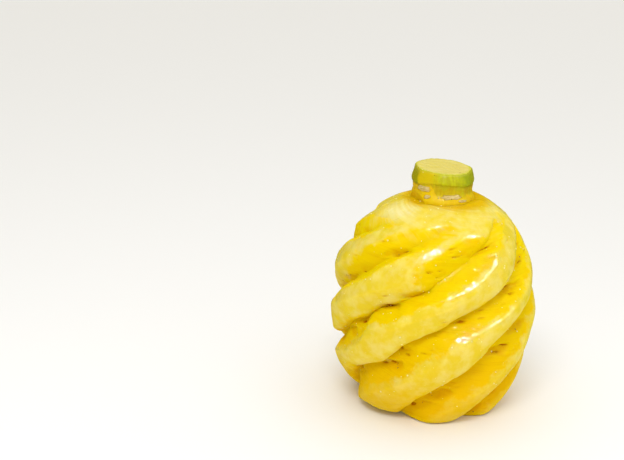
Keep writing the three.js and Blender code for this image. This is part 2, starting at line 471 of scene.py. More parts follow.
def find_groove(given, at, round_share):
    """The nearest groove, and how far off it is: columns crowd together just above each floor."""
    groove_share = round_share * given["Grooves"]
    nearest = (groove_share + 0.5).math("FLOOR")
    even_share = groove_share - nearest
    at.groove = nearest.math("FLOORED_MODULO", given["Grooves"])
    at.is_above = even_share.math("LESS_THAN", 0)
    crowded = (abs(even_share) * 2) ** COLUMN_CROWDING * -0.5
    at.from_floor = even_share + at.is_above * (crowded - even_share)
    at.step = 360 / given["Grooves"]
    at.even_angle = (nearest + at.from_floor) * at.step


def find_place(tree, given, at):
    """Where each point lies on the uncut body, and how far along and across its groove."""
    uneven = ((at.even_angle - UNEVEN_SPACING_TURN) * rad(1)).math("SINE") * UNEVEN_SPACING
    uneven_pairs = ((at.even_angle * 2 - UNEVEN_PAIRS_TURN) * rad(1)).math("SINE") * UNEVEN_PAIRS
    backward = ((at.even_angle - BACK_SHIFT_TURN) * rad(1)).math("COSINE")
    shift = uneven + uneven_pairs + backward.ramp(*BACK_SHIFT_SPREAD) * BACK_SHIFT
    angle = (at.even_angle + FIRST_GROOVE_ANGLE + shift + twist_of(at.height)) * rad(1)
    wavering = at.height.most(WAVER_MIDDLE - WAVER_REACH).least(WAVER_MIDDLE + WAVER_LENGTH)
    waver = ((wavering - WAVER_MIDDLE) * (math.tau / WAVER_LENGTH)).math("SINE") * given["Waver"]
    lag = (angle - rad(LAG_SIDE)).math("COSINE").ramp(*LAG_SPREAD) \
        * at.height.ramp(*LAG_TURN_HEIGHTS, -1, 1) * at.height.ramp(*LAG_END_HEIGHTS, 1, 0) * given["Lag"]
    at.angle = angle + (lag - waver) * at.step * rad(1)
    at.uncut = combine(tree, at.angle.math("COSINE") * at.outline, at.angle.math("SINE") * at.outline,
                       at.height + given["Seed"] * 100)
    at.rise = (1 / (at.outline * twist_rate_of(at.height) * rad(1))).math("ARCTANGENT").math("SINE")
    at.across = at.from_floor * (at.step * rad(1) * at.outline * at.rise)
    at.along = at.height / at.rise


def groove_wall(given, at, narrowing):
    """The groove's profile as a share of its depth: round over the floor and straight under it."""
    round_wall = 1 - (1 - at.under ** UNDERSIDE_ROUNDNESS).most(0) ** (1 / UNDERSIDE_ROUNDNESS)
    softness = FLOOR_SOFTNESS + at.steep * STEEP_SOFTNESS
    off_floor = (at.from_floor * at.from_floor + softness * softness) ** 0.5
    straight_wall = 1 - off_floor / (given["Straight Width"] * narrowing)
    steep_wall = 1 - off_floor / (given["Leaning Width"] * narrowing)
    wall_above = round_wall + at.leaning * (straight_wall - round_wall)
    wall_below = straight_wall + at.steep * (steep_wall - straight_wall)
    return wall_below + at.is_above * (wall_above - wall_below)


def cut_grooves(tree, given, at):
    """How deep the knife went at each point, and how the grooves' edges wander."""
    floor_half = FLOOR_LOWER_HALF_HEIGHT + at.is_upper * (FLOOR_UPPER_HALF_HEIGHT - FLOOR_LOWER_HALF_HEIGHT)
    floor_share = (at.height - BELLY_HEIGHT) / floor_half
    floor_radius = (BELLY_RADIUS - given["Groove Depth"]) * (1 - floor_share * floor_share) ** 0.5
    at.depth = (at.outline - floor_radius).most(0)
    at.lean_side = (at.angle - rad(LEANING_SIDE)).math("COSINE")
    at.leaning = at.height.ramp(*LEANING_HEIGHTS) * at.lean_side.ramp(*LEANING_SPREAD)
    at.steep = at.height.ramp(*STEEP_HEIGHTS) * at.lean_side.ramp(*STEEP_SPREAD)
    full_width_depth = FULL_WIDTH_DEPTH - at.leaning * (FULL_WIDTH_DEPTH - LEANING_FULL_WIDTH_DEPTH)
    narrowing = at.depth.ramp(0, full_width_depth, NARROWEST_GROOVE, 1, smooth=False)
    at.under = (1 - abs(at.from_floor) / (0.5 * narrowing)).most(0)
    wall = at.depth * groove_wall(given, at, narrowing)
    rounding = GROOVE_FLOOR_ROUNDING * narrowing * (1 + at.is_above * (at.leaning - 1))
    rounded_wall = (wall + (wall * wall + rounding * rounding) ** 0.5) * 0.5
    to_crest = (0.5 - abs(at.from_floor)).ramp(0, CREST_WIDTH)
    at.cut = rounded_wall * to_crest * at.depth.ramp(*CUT_START_DEPTHS)
    lip = at.is_above * at.under.ramp(0.3, 0.85) * at.under.ramp(0.9, 1, 1, 0) * (1 - at.leaning) \
        * at.depth.ramp(*LIP_DEPTHS) * given["Lip"]
    wander = (noise_field(tree, at.uncut, 0.09, 2.0) - 0.5) * given["Edge Wander"] \
        * at.depth.ramp(*EDGE_WANDER_DEPTHS)
    at.angle = at.angle + (wander + lip) / (at.outline * at.rise)


def dig_hollows(tree, given, at):
    """A hollow where each eye came out, and small pits near the floors."""
    seed = given["Seed"]
    eye = at.height / given["Pocket Step"] + at.groove * POCKET_STAGGER
    eye_number = eye.math("FLOOR")
    luck = white_noise(tree, at.groove, eye_number, seed)
    other_luck = white_noise(tree, at.groove, eye_number, seed + 1)
    ragged = (noise_field(tree, at.uncut, 0.3, 3.0, 0.6) - 0.5) * POCKET_RAGGEDNESS
    off_middle = eye - eye_number - 0.5 - (luck - 0.5) * POCKET_SCATTER_ALONG
    along_eye = off_middle * given["Pocket Step"] / at.rise + ragged
    across_eye = at.across - POCKET_OFFSET[0] - (other_luck - 0.2) * POCKET_SCATTER + ragged * 0.4 \
        + at.leaning * POCKET_OFFSET[1]
    oval = (along_eye / POCKET_HALF_LENGTH) ** 2 + (across_eye / POCKET_HALF_WIDTH) ** 2
    in_groove = at.depth.ramp(*POCKET_START_DEPTHS)
    at.pocket = oval.ramp(0, 1.3, 1, 0) * in_groove * other_luck.ramp(0.15, 0.7, 0.35, 1)

    from_pits = abs(at.across - PIT_OFFSET[0] + at.leaning * PIT_OFFSET[1])
    near_pits = from_pits.ramp(*PIT_REACH, 1, 0) * at.depth.ramp(*PIT_START_DEPTHS)
    pit_ground = combine(tree, (at.along + ragged * 0.3) * 0.8, at.across + ragged * 0.25,
                         at.groove * PIT_PATTERN_STEP)
    spot, spot_luck = cells(tree, pit_ground, 1 / PIT_SPACING)
    chosen = (spot_luck + at.leaning * 0.25).ramp(0.35, 0.6)
    at.pit = spot.ramp(0.05, 0.42, 1, 0) * near_pits * chosen * at.pocket.ramp(0, 0.3, 0.4, 1)
    at.hollow = at.pocket * given["Pocket Depth"] + at.pit * given["Pit Depth"]


def wrap_round(at):
    """Cuts square to the surface, wraps round, bends the neck, sinks the moat and trims the foot."""
    cosine = at.angle.math("COSINE")
    sine = at.angle.math("SINE")
    foot_part = at.up_share.ramp(0, FOOT_SHARE, 0, 1, smooth=False)
    seat_part = at.up_share.ramp(SEAT_SHARE, 1, 1, 0, smooth=False)
    level_share = (at.slope * at.slope + 1) ** -0.5
    square_cut = (at.cut + at.hollow) * level_share
    facing = (at.angle - rad(SLICE_DIRECTION)).math("COSINE").most(0.5)
    cut_outline = at.outline - square_cut * level_share
    sliced = cut_outline.math("SMOOTH_MIN", SLICE_REACH / facing, SLICE_SOFTNESS)
    at.radius = sliced * foot_part * seat_part
    height = at.height + square_cut * level_share * at.slope * at.height.ramp(*SQUARE_CUT_HEIGHTS)
    neck = (height - NECK_BEND_HEIGHT).most(0) / NECK_BEND_HEIGHT
    at.x = cosine * at.radius + neck * neck * NECK_SHIFT
    at.y = sine * at.radius
    at.moat = (at.radius - SEAT_RADIUS).ramp(0, MOAT_WIDTH, 1, 0) * at.is_upper
    past_trim = at.x * math.cos(rad(TRIM_DIRECTION)) + at.y * math.sin(rad(TRIM_DIRECTION)) - TRIM_START
    at.z = (height - at.moat * MOAT_DEPTH).most(past_trim * math.tan(rad(TRIM_ANGLE)))
    return height


def pale_band(at, cut_height):
    """The pale band along each ridge, which ends sooner on its lower side where the cuts lean."""
    below_floor = at.from_floor + at.is_above
    start = BAND_START - at.steep * STEEP_BAND_START
    end = BAND_END - cut_height.ramp(*LEANING_BAND_HEIGHTS) * at.lean_side.ramp(*LEANING_SPREAD) \
        * LEANING_BAND_LOSS
    rising = (below_floor - start) * BAND_EDGE_STEEPNESS
    falling = (end - below_floor) * BAND_EDGE_STEEPNESS
    uncut = at.depth.ramp(0.5, 4, 1, 0) * at.cut.ramp(0.15, 0.7, 1.2, 0.2)
    return (rising.least(falling) + 0.5).most(uncut)


def roughened(tree, given, geometry):
    """Unevenness all over, which leaves the flat foot alone."""
    unit = given["Millimetre"]
    place = tree.nodes.new("GeometryNodeInputPosition").outputs[0]
    wide = noise_field(tree, place, WIDE_LUMPS_PER_METRE, 1.0) - 0.5
    fine = noise_field(tree, place, FINE_LUMPS_PER_METRE, 2.0) - 0.5
    off_ground = (split(tree, place)[2] / unit).ramp(*RELIEF_START_HEIGHTS)
    relief = (wide * WIDE_RELIEF + fine * FINE_RELIEF) * off_ground * given["Relief"]
    return raised(tree, geometry, relief * unit)


def flesh_piece(material):
    """The grooved body, from the foot's middle to the seat's: a grid wrapped round and cut by rule."""
    inputs = {
        "Columns": COLUMNS, "Rows": ROWS, "Grooves": float(GROOVE_COUNT),
        "Groove Depth": GROOVE_DEPTH, "Straight Width": STRAIGHT_WIDTH, "Leaning Width": LEANING_WIDTH,
        "Waver": WAVER, "Lag": LAG, "Lip": LIP, "Edge Wander": EDGE_WANDER,
        "Pocket Step": POCKET_STEP, "Pocket Depth": POCKET_DEPTH, "Pit Depth": PIT_DEPTH,
        "Relief": RELIEF, "Seed": 4.0, "Millimetre": MM, "Material": material,
    }
    tree, given = geometry_tree("spiral_cut_flesh", inputs)
    unit = given["Millimetre"]
    grid, round_share, up_share = grid_of(tree, given["Columns"], given["Rows"])
    at = SimpleNamespace(up_share=up_share)
    at.height, at.is_upper = body_height(up_share)
    at.outline, at.slope = body_outline(at.height, at.is_upper)
    find_groove(given, at, round_share)
    find_place(tree, given, at)
    cut_grooves(tree, given, at)
    dig_hollows(tree, given, at)
    cut_height = wrap_round(at)
    geometry = store(tree, grid, across=at.across, along=at.along, height=at.z,
                     pale=pale_band(at, cut_height), pocket=at.pocket, pit=at.pit, moat=at.moat,
                     radius=at.radius, depth=at.depth)
    geometry = moved(tree, geometry, position=combine(tree, at.x * unit, at.y * unit, at.z * unit))
    welded = add_node(tree, "GeometryNodeMergeByDistance", geometry=geometry, distance=WELD_GAP * MM)
    geometry = roughened(tree, given, welded.outputs["Geometry"])
    finish_tree(tree, geometry, given["Material"])
    return grown_mesh("flesh", tree, inputs)


# ---------------------------------------------------------------- what is strewn over the flesh

def random_value(tree, seed):
    """A random number between 0 and 1 for each instance."""
    node = add_node(tree, "FunctionNodeRandomValue", data_type="FLOAT", seed=seed)
    return Field(tree, next(socket for socket in node.outputs if socket.enabled))


def strewn_points(tree, given, where):
    """Random points on the flesh, with a direction for each, most where the attribute is high."""
    attribute_name, none_at, full_at = where
    surface = add_node(tree, "GeometryNodeObjectInfo", transform_space="RELATIVE", object=given["Surface"])
    amount = add_node(tree, "GeometryNodeInputNamedAttribute", data_type="FLOAT")
    amount.inputs["Name"].default_value = attribute_name
    share = Field(tree, amount.outputs["Attribute"]).ramp(none_at, full_at)
    scatter = add_node(tree, "GeometryNodeDistributePointsOnFaces", distribute_method="RANDOM",
                       mesh=surface.outputs["Geometry"], density=given["Density"] * share,
                       seed=given["Seed"])
    return scatter.outputs["Points"], scatter.outputs["Rotation"]


def grains_on(tree, given, points, rotation):
    """A stretched and flattened ball on each point, turned at random."""
    ball = add_node(tree, "GeometryNodeMeshUVSphere", segments=GRAIN_SEGMENTS, rings=GRAIN_RINGS,
                    radius=1.0)
    size_luck = random_value(tree, given["Seed"] + 1) ** GRAIN_SIZE_POWER
    size = given["Least Size"] + size_luck * (given["Greatest Size"] - given["Least Size"])
    proportions = combine(tree, size * given["Length"], size, size * given["Flatness"])
    grains = add_node(tree, "GeometryNodeInstanceOnPoints", points=points, instance=ball.outputs["Mesh"],
                      rotation=rotation, scale=proportions)
    turn = random_value(tree, given["Seed"] + 2) * math.tau
    turned = add_node(tree, "GeometryNodeRotateInstances", instances=grains.outputs["Instances"],
                      rotation=combine(tree, 0.0, 0.0, turn))
    return turned.outputs["Instances"]


def scattered_piece(name, flesh, kind, material):
    """Small grains strewn over the flesh by rule, each half sunk in it."""
    least_size, greatest_size = kind["sizes"]
    inputs = {
        "Surface": flesh, "Density": kind["density"], "Least Size": least_size * MM,
        "Greatest Size": greatest_size * MM, "Length": kind["length"], "Flatness": kind["flatness"],
        "Seed": kind["seed"], "Material": material,
    }
    tree, given = geometry_tree(name, inputs)
    points, rotation = strewn_points(tree, given, kind["where"])
    finish_tree(tree, grains_on(tree, given, points, rotation), given["Material"])
    return grown_mesh(name, tree, inputs)


# ---------------------------------------------------------------- the stalk

def smooth_step(value, low=0.0, high=1.0):
    share = min(1.0, max(0.0, (value - low) / (high - low)))
    return share * share * (3 - 2 * share)


def turn_gap(turn, middle):
    """How far a direction lies from another, in degrees, from -180 to 180."""
    return (turn - middle + 180) % 360 - 180


def knee_height(turn):
    """The lime rind's lower edge, which the knife left wavy."""
    return STALK_KNEE + KNEE_TILT * math.cos(rad(turn - KNEE_TILT_TURN)) \
        + KNEE_WAVES * math.cos(rad(3 * (turn - KNEE_WAVES_TURN)))


def facet_share(turn, facets, first):
    """How far in the flat faces of the knife's strokes lie, compared with the round."""
    step = 360 / facets
    return math.cos(rad(step / 2)) / math.cos(rad((turn - first) % step - step / 2))


def scar_at(turn, height):
    """How much of a scar covers a point, with a ragged edge."""
    ragged = SCAR_RAGGEDNESS * noise.noise((turn * 0.11, height * 1.3, 3.7))
    best = 0.0
    for middle, level, half_width, half_height in SCARS:
        reach = math.hypot(turn_gap(turn, middle) / half_width, (height - level) / half_height)
        best = max(best, 1 - smooth_step(reach + ragged, 0.6, 1.0))
    return best


def stalk_radius(turn, height):
    """The stub's radius: flared at its base, waisted, with a knee where the lime rind starts."""
    knee = knee_height(turn)
    base = BASE_RADIUS - BASE_FLARE * smooth_step(height, FLARE_START_HEIGHT, WAIST_HEIGHT)
    waist = base + WAIST_GAIN * smooth_step(height, WAIST_HEIGHT, knee - WAIST_BELOW_KNEE)
    rind = KNEE_RADIUS - RIND_TAPER * smooth_step(height, knee, STALK_TOP + 1)
    radius = waist + (rind - waist) * smooth_step(height, knee + KNEE_BLEND[0], knee + KNEE_BLEND[1])
    facets, first = RIND_FACETS if height > knee - FACETS_BELOW_KNEE else WAIST_FACETS
    radius *= 1 + (facet_share(turn, facets, first) - 1) * FACET_FLATNESS
    place = (math.cos(rad(turn)) * 1.6, math.sin(rad(turn)) * 1.6, height * 0.16)
    radius += STALK_UNEVENNESS * noise.noise(place) + STALK_ROUGHNESS * noise.noise(Vector(place) * 6)
    peeling = 0.6 + 0.8 * noise.noise((turn * 0.35, height * 2.2, 9.1))
    return radius + SCAR_THICKNESS * scar_at(turn, height) * peeling


def cut_face_height(x, y):
    """The slanted cut across the top, faintly ribbed by the blade."""
    slope = STALK_TOP - math.tan(rad(SLANT_RIGHT)) * x + math.tan(rad(SLANT_FRONT)) * y
    ribs = FACE_RIB_HEIGHT * math.sin(x * 1.9 + y * 1.1)
    unevenness = FACE_UNEVENNESS * noise.noise((x * 0.22, y * 0.35, 1.3))
    return slope + (ribs + unevenness)


def stalk_ring(turn_share, row):
    """A point of the stub's side: rows run from its sunk foot to the rim of the cut face."""
    turn = turn_share * 360 - 180
    x_share = math.cos(rad(turn))
    y_share = math.sin(rad(turn))
    rim_height = cut_face_height(x_share * RIM_RADIUS, y_share * RIM_RADIUS)
    share = row / (STALK_ROWS - 1)
    height = -STALK_SUNK + (rim_height + STALK_SUNK) * share
    radius = stalk_radius(turn, height) - RIM_ROUNDING * smooth_step(share, RIM_ROUNDING_START, 1.0)
    facing = math.cos(rad(turn_gap(turn, LEFT_CUT_DIRECTION)))
    if facing > 0.5 and height < knee_height(turn) + LEFT_CUT_PAST_KNEE:
        radius = min(radius, (LEFT_CUT_REACH + LEFT_CUT_LEAN * height) / facing)
    return turn, radius, height


def stalk_piece(material):
    """The stub left on as a handle, meshed ring by ring and closed across its cut face."""
    places = []
    values = {"level": [], "knee": [], "scar": [], "cut_face": []}

    def add_point(x, y, height, turn, on_face):
        places.append(((x + SEAT_OFFSET) * MM, y * MM, (height + SEAT_HEIGHT) * MM))
        values["level"].append(height)
        values["knee"].append(height - knee_height(turn))
        values["scar"].append(0.0 if on_face else scar_at(turn, height))
        values["cut_face"].append(on_face)

    for row in range(STALK_ROWS):
        for column in range(STALK_SEGMENTS):
            turn, radius, height = stalk_ring(column / STALK_SEGMENTS, row)
            on_face = float(row == STALK_ROWS - 1)
            add_point(radius * math.cos(rad(turn)), radius * math.sin(rad(turn)), height, turn, on_face)
    for ring in range(CUT_FACE_RINGS - 1, 0, -1):
        for column in range(STALK_SEGMENTS):
            turn, radius, _ = stalk_ring(column / STALK_SEGMENTS, STALK_ROWS - 1)
            radius *= ring / CUT_FACE_RINGS
            x = radius * math.cos(rad(turn))
            y = radius * math.sin(rad(turn))
            add_point(x, y, cut_face_height(x, y), turn, 1.0)
    add_point(0, 0, cut_face_height(0, 0), 0, 1.0)

    faces = []
    ring_count = STALK_ROWS + CUT_FACE_RINGS - 1
    for ring in range(ring_count - 1):
        for column in range(STALK_SEGMENTS):
            right = (column + 1) % STALK_SEGMENTS
            low = ring * STALK_SEGMENTS
            high = low + STALK_SEGMENTS
            faces.append((low + column, low + right, high + right, high + column))
    middle = len(places) - 1
    last = (ring_count - 1) * STALK_SEGMENTS
    faces += [(last + c, last + (c + 1) % STALK_SEGMENTS, middle) for c in range(STALK_SEGMENTS)]
    faces.append(tuple(reversed(range(STALK_SEGMENTS))))
    return plain_piece("stalk_stub", places, faces, values, material)


def plain_piece(name, places, faces, values, material):
    """A piece from its points and faces, with the values that its material reads."""
    mesh = bpy.data.meshes.new(name)
    mesh.from_pydata(places, [], faces)
    for label, numbers in values.items():
        mesh.attributes.new(label, "FLOAT", "POINT").data.foreach_set("value", numbers)
    mesh.materials.append(material)
    mesh.shade_smooth()
    piece = bpy.data.objects.new(name, mesh)
    bpy.context.scene.collection.objects.link(piece)
    return piece


# ---------------------------------------------------------------- materials

def new_material(name, values):
    """A material with the given values on its shader's own sockets."""
    material = bpy.data.materials.new(name)
    material.use_nodes = True
    tree = material.node_tree
    shader = tree.nodes["Principled BSDF"]
    for label, value in values.items():
        shader.inputs[label].default_value = value
    return material, tree, shader


def attribute(tree, name):
    node = tree.nodes.new("ShaderNodeAttribute")
    node.attribute_name = name
    return Field(tree, node.outputs["Fac"])


def mixed_colour(tree, share, first, second):
    node = tree.nodes.new("ShaderNodeMix")
    node.data_type = "RGBA"
    colour_sockets = [s for s in node.inputs if s.type == "RGBA"]
    plug(tree, share, node.inputs[0])
    plug(tree, first, colour_sockets[0])
    plug(tree, second, colour_sockets[1])
    return [s for s in node.outputs if s.type == "RGBA"][0]


def layered(tree, colour, *coats):
    """A colour with others laid over it in turn, each as thickly as its share."""
    for share, over in coats:
        colour = mixed_colour(tree, share, colour, over)
    return colour


def in_millimetres(tree):
    """The piece's own coordinates, in millimetres."""
    return scaled(tree, tree.nodes.new("ShaderNodeTexCoord").outputs["Object"], 1 / MM)


def rgb(red, green, blue):
    """A colour as a screen shows it, from 0 to 255, made linear for the shader."""
    shares = [value / 255 for value in (red, green, blue)]
    linear = [v / 12.92 if v <= 0.04045 else ((v + 0.055) / 1.055) ** 2.4 for v in shares]
    return (*linear, 1)


def add_bump(tree, shader, height, sockets=("Normal",)):
    """Bumps whose height is in millimetres."""
    bump = add_node(tree, "ShaderNodeBump", distance=MM, strength=1.0)
    plug(tree, height, bump.inputs["Height"])
    for name in sockets:
        tree.links.new(bump.outputs["Normal"], shader.inputs[name])


# The colours of the flesh and of the stalk
FLESH = SimpleNamespace(
    # Towards the foot the flesh is darker, partly its own colour and partly painted shade.
    gold=rgb(234, 204, 0), low_gold=rgb(230, 186, 0), strand=rgb(210, 152, 0), cloud=rgb(232, 190, 0),
    ridge=rgb(230, 205, 50), low_ridge=rgb(229, 198, 40), milk=rgb(238, 220, 122),
    ray=rgb(228, 214, 128), between_rays=rgb(228, 202, 50), cream=rgb(242, 233, 168),
    # The deeper orange of the hollows is painted shade.
    ring=rgb(216, 172, 0), hollow_shade=rgb(220, 160, 0), pit=rgb(186, 108, 0))

STALK = SimpleNamespace(
    rind=rgb(178, 172, 4), lime=rgb(190, 190, 6), shaved=rgb(208, 184, 6), left_edge=rgb(160, 156, 12),
    green=rgb(140, 156, 12), behind=rgb(150, 148, 16), upper_rind=rgb(186, 182, 50),
    waist=rgb(192, 166, 2), waist_streak=rgb(206, 186, 4), waist_cloud=rgb(184, 184, 6),
    # The colour under the knee is painted shade.
    shade_under_knee=rgb(150, 124, 8), base=rgb(228, 192, 1), base_streak=rgb(230, 200, 10),
    dark_paper=rgb(206, 176, 92), paper=rgb(236, 216, 146), scar_edge=rgb(160, 118, 14),
    speck=rgb(104, 66, 14), face=rgb(216, 200, 92), stroke=rgb(230, 216, 128),
    bundle=rgb(206, 184, 60), face_speck=rgb(120, 78, 18), face_rim=rgb(206, 204, 60),
    # The pale specks at the rim are a painted highlight.
    painted_sparkle=rgb(246, 240, 190))

# Soft random patterns: lumps to a millimetre, how many finer layers lie over them, and how strong
GOLD_CLOUDS = (0.11, 3.0)
BROAD_BLOTCHES = (0.14, 3.0, 0.55)
FINE_BLOTCHES = (0.5, 2.0)
FINE_BLOTCH_SHARE = 0.25
MILKINESS = (0.16, 3.0, 0.55)
# This pattern breaks up the painted shade in the hollows and the brown of the pits.
SHADE_AND_PIT_MOTTLE = (0.5, 3.0, 0.6)
FLESH_GRAIN = (1.0, 2.0)
FLESH_DIMPLES = (0.4, 2.0)
JUICE_RIPPLES = (0.6, 1.0)
WET_PATCHES = (0.09, 2.0)
STALK_CLOUDS = (0.25, 3.0)
STALK_GRAIN = (1.1, 3.0, 0.6)

# Fibres are such lumps stretched: how many to a millimetre in each direction
FIBRES = (1.0, 3.0, 0.6)
CUT_FACE_FIBRES = (1.0, 4.0, 0.6)
FLESH_STRANDS = (1.1, 0.13, 0.05)
SHOULDER_RAYS = (6, 6, 0.1)
RIND_STREAKS = (0.9, 0.9, 0.12)
PAPER_STREAKS = (0.5, 0.5, 3.2)
CUT_FACE_STROKES = (0.12, 0.8)

# Spots to a millimetre
SPARKLE_SPOTS = 0.8
SPECK_SPOTS = 0.34
BUNDLE_SPOTS = 0.95

# How high each pattern stands, in millimetres
GRAIN_HEIGHT = 0.05
DIMPLE_HEIGHT = 0.25
STRAND_HEIGHT = 0.12
RIPPLE_HEIGHT = 0.25
STALK_GRAIN_HEIGHT = 0.1
STREAK_HEIGHT = 0.18
PAPER_HEIGHT = 0.7
STROKE_HEIGHT = 0.3
BUNDLE_DEPTH = 0.15

# How strong the stalk's wet film is, away from the scars
STALK_COAT = 0.12


def stretched(tree, stretch, *parts):
    """A place to read lumps at, stretched along some of its parts."""
    return combine(tree, *(part * share for part, share in zip(parts, stretch)))


def golden_colour(tree, at):
    """Golden where the knife went deep, and darker amber towards the foot, partly the flesh's own colour
    and partly painted shade.
    """
    strands = at.fibres.ramp(0.5, 0.75) * at.low.ramp(0, 1, 0.25, 0.45)
    clouds = noise_field(tree, at.place, *GOLD_CLOUDS).ramp(0.5, 0.7) * 0.5
    return layered(tree, FLESH.gold, (at.low, FLESH.low_gold), (strands, FLESH.strand),
                   (clouds, FLESH.cloud))


def ridge_colour(tree, at):
    """Pale yellow, milky in places, and darker towards the foot, partly its own colour and partly painted
    shade.
    """
    return layered(tree, FLESH.ridge, (at.low, FLESH.low_ridge),
                   (at.milk.ramp(0.32, 0.72) * 0.7, FLESH.milk))


def pale_share(tree, at):
    """How much of the ridges' pale colour shows, with blotchy edges."""
    broad = noise_field(tree, at.place, *BROAD_BLOTCHES)
    fine = noise_field(tree, at.place, *FINE_BLOTCHES) * FINE_BLOTCH_SHARE
    blotches = broad + fine - (1 + FINE_BLOTCH_SHARE) / 2
    pale = (at.pale + blotches * at.depth.ramp(1, 6, 0.4, 2.2)).ramp(0.3, 0.85)
    return pale * at.height.ramp(8, 34, 0.3, 1)


def shoulder_colour(tree, at, colour):
    """Fibres that run out from the stalk, a cream patch on the left and the golden ring."""
    swirl = at.radius * rad(SHOULDER_SWIRL)
    ray_x = (at.x * swirl.math("COSINE") + at.y * swirl.math("SINE")) / at.radius
    ray_y = (at.y * swirl.math("COSINE") - at.x * swirl.math("SINE")) / at.radius
    rays = noise_field(tree, stretched(tree, SHOULDER_RAYS, ray_x, ray_y, at.radius), *FIBRES)
    shoulder = at.height.ramp(*SHOULDER_HEIGHTS) * at.milk.ramp(0.35, 0.6)
    cream_side = (at.x * math.cos(rad(CREAM_SIDE)) + at.y * math.sin(rad(CREAM_SIDE))) / at.radius
    cream = cream_side.ramp(*CREAM_SPREAD) * at.radius.ramp(18, 22) * at.radius.ramp(25, 31, 1, 0)
    wider_right = (at.x / at.radius).ramp(0, 0.9, 0, RING_WIDER_RIGHT)
    from_seat = at.radius - SEAT_RADIUS - wider_right + (rays - 0.5) * RING_RAGGEDNESS
    ring = from_seat.ramp(*RING_WIDTHS, 1, 0) * at.height.ramp(84, 92)
    return layered(tree, colour,
                   (rays.ramp(0.4, 0.7) * shoulder * 0.6, FLESH.ray),
                   (rays.ramp(0.3, 0.45, 1, 0) * shoulder * 0.3, FLESH.between_rays),
                   (cream * rays.ramp(0.35, 0.6, 0.5, 0.95), FLESH.cream),
                   (ring, FLESH.ring))


def hollow_colour(tree, at, colour):
    """Painted shade, a deeper orange, in the hollows, and brown in the pits."""
    shade_and_pit_mottle = noise_field(tree, at.place, *SHADE_AND_PIT_MOTTLE)
    # The hollows' deeper orange is painted shade; the pits' brown is their own colour.
    hollow_shade = at.pocket.ramp(0.1, 0.9) * shade_and_pit_mottle.ramp(0.35, 0.65, 0.3, 1)
    brown = at.pit.ramp(0.1, 0.6) * shade_and_pit_mottle.ramp(0.35, 0.6, 0.3, 1)
    return layered(tree, colour, (hollow_shade * 0.5, FLESH.hollow_shade), (brown, FLESH.pit))


def add_wet_gloss(tree, shader, at):
    """A film of juice, thick in patches on the pale ridges and thin elsewhere, broken up by ripples."""
    grain = noise_field(tree, at.place, *FLESH_GRAIN)
    dimples = noise_field(tree, at.place, *FLESH_DIMPLES)
    add_bump(tree, shader, grain * GRAIN_HEIGHT + dimples * DIMPLE_HEIGHT + at.fibres * STRAND_HEIGHT)
    ripples = noise_field(tree, at.place, *JUICE_RIPPLES) * RIPPLE_HEIGHT
    add_bump(tree, shader, ripples, ("Coat Normal",))
    tree.links.new(grain.ramp(0.35, 0.65, 0.4, 0.6).socket, shader.inputs["Roughness"])
    upward = split(tree, tree.nodes.new("ShaderNodeNewGeometry").outputs["Normal"])[2].ramp(-0.2, 0.2)
    wet = noise_field(tree, at.place, *WET_PATCHES).ramp(0.38, 0.5, 0.3, 1) * upward
    on_gold = at.pale.ramp(0, 0.8, 0.14, 1)
    in_hollow = at.pit.most(at.pocket).ramp(0, 0.4, 1, 0.05)
    tree.links.new((wet * on_gold * in_hollow).socket, shader.inputs["Coat Weight"])


def flesh_material():
    """Wet flesh: blotchy pale ridge tops, golden groove walls with faint fibres, brown pits."""
    material, tree, shader = new_material("wet_flesh", {
        "IOR": 1.2, "Specular IOR Level": 0.1, "Coat Roughness": 0.05, "Coat IOR": 1.6,
        "Subsurface Weight": 0.7, "Subsurface Radius": (1.0, 0.75, 0.1), "Subsurface Scale": 7 * MM,
    })
    names = ("height", "along", "across", "radius", "depth", "pale", "pocket", "pit")
    at = SimpleNamespace(place=in_millimetres(tree), **{name: attribute(tree, name) for name in names})
    at.x, at.y, _ = split(tree, at.place)
    # Darker towards the foot, partly the flesh's own colour and partly painted shade.
    at.low = at.height.ramp(8, 62, 1, 0)
    at.fibres = noise_field(tree, stretched(tree, FLESH_STRANDS, at.along, at.across, at.radius), *FIBRES)
    at.milk = noise_field(tree, at.place, *MILKINESS)
    at.pale = pale_share(tree, at)
    colour = mixed_colour(tree, at.pale, golden_colour(tree, at), ridge_colour(tree, at))
    colour = shoulder_colour(tree, at, colour)
    tree.links.new(hollow_colour(tree, at, colour), shader.inputs["Base Color"])
    add_wet_gloss(tree, shader, at)
    return material


def rind_colour(tree, at):
    """The lime rind: yellower where it was shaved on the left, greener to the right and behind."""
    left_edge = (at.x * -1 + (at.cloud - 0.5) * 3).ramp(10.5, 12)
    greener = (at.x + (at.cloud - 0.5) * 8).ramp(6, 12)
    behind = (at.y + (at.cloud - 0.5) * 6).ramp(-2, 9)
    return layered(tree, STALK.rind, (at.streak.ramp(0.35, 0.65), STALK.lime), (at.shaved, STALK.shaved),
                   (left_edge, STALK.left_edge), (greener * 0.8, STALK.green),
                   (behind * 0.6, STALK.behind), (at.knee.ramp(4.2, 6.2) * 0.5, STALK.upper_rind))


def waist_colour(tree, at):
    """The olive waist over the shaved golden base, with painted shade just under the rind's overhanging
    knee.
    """
    # Just under the knee the waist is darkened with painted shade.
    waist = layered(tree, STALK.waist, (at.streak.ramp(0.35, 0.65), STALK.waist_streak),
                    (at.cloud.ramp(0.5, 0.6) * 0.5, STALK.waist_cloud),
                    (at.knee.ramp(-2.2, -0.2) * 0.3, STALK.shade_under_knee))
    above_base = (at.level + (at.cloud - 0.5) * 4 + at.shaved * -5).ramp(0.2, 2.2)
    return layered(tree, STALK.base, (at.streak.ramp(0.4, 0.7), STALK.base_streak), (above_base, waist))


